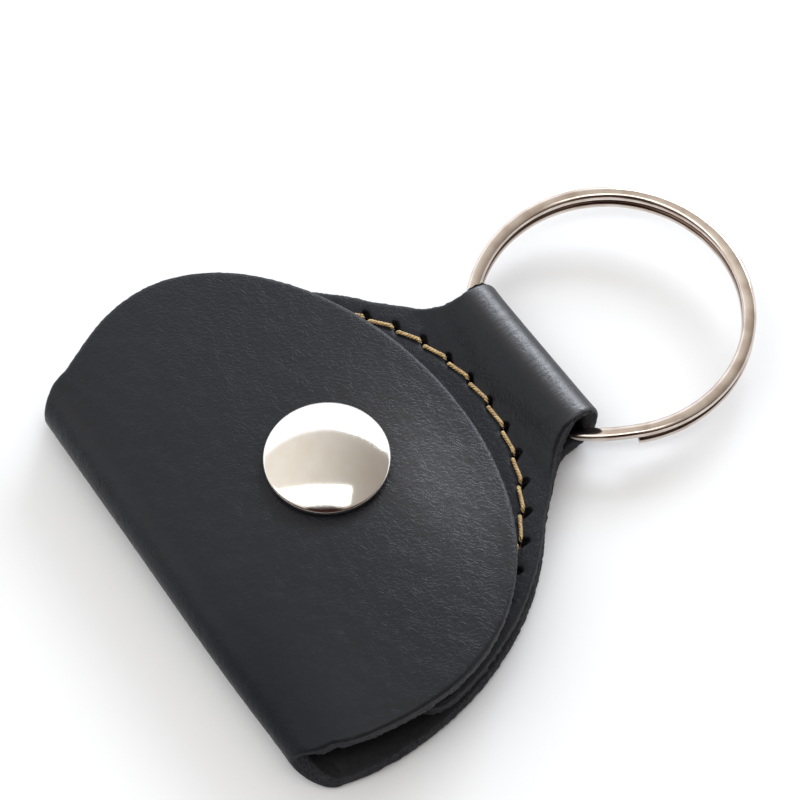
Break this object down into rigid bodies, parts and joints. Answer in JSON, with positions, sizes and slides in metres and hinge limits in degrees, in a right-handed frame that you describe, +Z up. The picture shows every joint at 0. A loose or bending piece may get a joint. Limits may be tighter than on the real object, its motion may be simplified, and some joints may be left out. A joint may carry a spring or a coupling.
{
  "type": "guitar pick holder",
  "caption": "Black leather guitar pick pouch folded from one strip, with stitched pocket, press snap flap and split key ring.",
  "frame": {"origin": "on the flat underside of the back panel, on the mirror line, at the centre of the stitched arc", "axes": "+Z up out of the face the holder lies on, +Y from the bottom fold towards the key ring, X along the fold"},
  "size_m": [0.0542, 0.0695, 0.0104],
  "materials": {
    "leather": "smooth black grain leather, matt sheen",
    "thread": "golden tan twisted sewing thread",
    "snap_nickel": "polished nickel plate",
    "spring_steel": "plain spring wire",
    "ring_nickel": "warm polished nickel plate"
  },
  "bodies": {
    "pouch": {"back_panel": "leather", "fold_spine": "leather", "pocket_panel": "leather", "ring_loop": "leather", "needle_thread": "thread", "bobbin_thread": "thread", "snap_stud": "snap_nickel", "snap_eyelet": "snap_nickel"},
    "flap": {"front_flap": "leather", "snap_cap_shell": "snap_nickel", "snap_cap_post": "snap_nickel", "snap_socket": "snap_nickel", "snap_spring": "spring_steel"},
    "ring": {"split_ring": "ring_nickel"}
  },
  "joints": [
    {"name": "flap_hinge", "type": "hinge", "parent": "pouch", "child": "flap", "pos_m": [0, -0.012, 0.00395], "axis": [1, 0, 0], "range_deg": [0, 120], "deforming": ["fold_spine"]},
    {"name": "ring_swing", "type": "hinge", "parent": "pouch", "child": "ring", "pos_m": [0, 0.0242, 0.003], "axis": [1, 0, 0], "range_deg": [-35, 45], "deforming": ["ring_loop"]}
  ]
}
